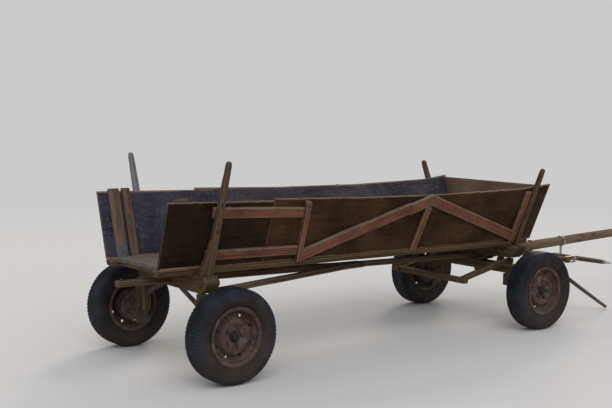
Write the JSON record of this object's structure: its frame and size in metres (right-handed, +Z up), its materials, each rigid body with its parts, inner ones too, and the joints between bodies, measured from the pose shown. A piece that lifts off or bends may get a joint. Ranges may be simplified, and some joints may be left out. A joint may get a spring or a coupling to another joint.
{
  "type": "horse cart",
  "caption": "Wooden farm cart with leaning plank sides, a long pole, swingletrees and rubber-tyred car wheels; the front axle steers.",
  "frame": {"origin": "on the ground, half way along the whole length, on the centre line", "axes": "+X forward along the pole, +Y to the left, +Z up"},
  "size_m": [6.3454, 1.462, 1.3708],
  "materials": {
    "tyre": "matte, dusty",
    "wheel_steel": "rusted through old paint",
    "cast_iron": "rusty",
    "forged_steel": "dull, rusty",
    "painted_board": "worn brown paint outside, dark blue-violet inside",
    "batten_wood": "faded red-brown paint",
    "weathered_wood": "bare, weathered grey-tan"
  },
  "bodies": {
    "chassis": {"drop_blocks_rear": "weathered_wood", "floor_bearers": "weathered_wood", "floor_boards": "weathered_wood", "fork_arms": "weathered_wood", "front_bolster": "weathered_wood", "headboard": "painted_board", "kingpin": "forged_steel", "knee_braces": "forged_steel", "reach": "weathered_wood", "rear_bolster": "weathered_wood", "rub_plate_upper": "forged_steel", "sheet_front_left": "painted_board", "sheet_front_right": "painted_board", "sheet_rear_left": "painted_board", "sheet_rear_right": "painted_board", "side_frame_left": "batten_wood", "side_frame_right": "batten_wood", "sills": "weathered_wood", "stakes_front": "weathered_wood", "stakes_rear": "weathered_wood", "stubs_rear": "forged_steel", "tail_cleats": "painted_board"},
    "front_gear": {"front_axle_beam": "weathered_wood", "drop_blocks_front": "weathered_wood", "stubs_front": "forged_steel", "hounds": "weathered_wood", "sway_bar": "weathered_wood", "pole_jaws": "weathered_wood", "pole": "weathered_wood", "pole_irons": "forged_steel", "rub_plate_lower": "forged_steel", "prop_stick": "weathered_wood", "stick_arm": "forged_steel"},
    "wheel_rear_left": {"tyre_rear_left": "tyre", "rim_rear_left": "wheel_steel", "hub_rear_left": "cast_iron"},
    "wheel_rear_right": {"tyre_rear_right": "tyre", "rim_rear_right": "wheel_steel", "hub_rear_right": "cast_iron"},
    "wheel_front_left": {"tyre_front_left": "tyre", "rim_front_left": "wheel_steel", "hub_front_left": "cast_iron"},
    "wheel_front_right": {"tyre_front_right": "tyre", "rim_front_right": "wheel_steel", "hub_front_right": "cast_iron"},
    "evener": {"evener": "weathered_wood", "evener_straps": "forged_steel"},
    "swingletree_left": {"swingletree_left": "weathered_wood", "swingletree_irons_left": "forged_steel"},
    "swingletree_right": {"swingletree_right": "weathered_wood", "swingletree_irons_right": "forged_steel"}
  },
  "joints": [
    {"name": "steering", "type": "hinge", "parent": "chassis", "child": "front_gear", "pos_m": [0.122, 0, 0.472], "axis": [0, 0, 1], "range_deg": [-55, 55]},
    {"name": "wheel_rear_left_spin", "type": "hinge", "parent": "chassis", "child": "wheel_rear_left", "pos_m": [-2.728, 0.6475, 0.3], "axis": [0, 1, 0], "continuous": true},
    {"name": "wheel_rear_right_spin", "type": "hinge", "parent": "chassis", "child": "wheel_rear_right", "pos_m": [-2.728, -0.6475, 0.3], "axis": [0, 1, 0], "continuous": true},
    {"name": "wheel_front_left_spin", "type": "hinge", "parent": "front_gear", "child": "wheel_front_left", "pos_m": [0.122, 0.6475, 0.3], "axis": [0, 1, 0], "continuous": true},
    {"name": "wheel_front_right_spin", "type": "hinge", "parent": "front_gear", "child": "wheel_front_right", "pos_m": [0.122, -0.6475, 0.3], "axis": [0, 1, 0], "continuous": true},
    {"name": "evener_swing", "type": "hinge", "parent": "front_gear", "child": "evener", "pos_m": [0.762, 0, 0.45], "axis": [0, 0, 1], "range_deg": [-15, 15]},
    {"name": "swingletree_left_swing", "type": "hinge", "parent": "evener", "child": "swingletree_left", "pos_m": [0.854, 0.4, 0.453], "axis": [0, 0, 1], "range_deg": [-13, 13]},
    {"name": "swingletree_right_swing", "type": "hinge", "parent": "evener", "child": "swingletree_right", "pos_m": [0.854, -0.4, 0.453], "axis": [0, 0, 1], "range_deg": [-13, 13]}
  ]
}
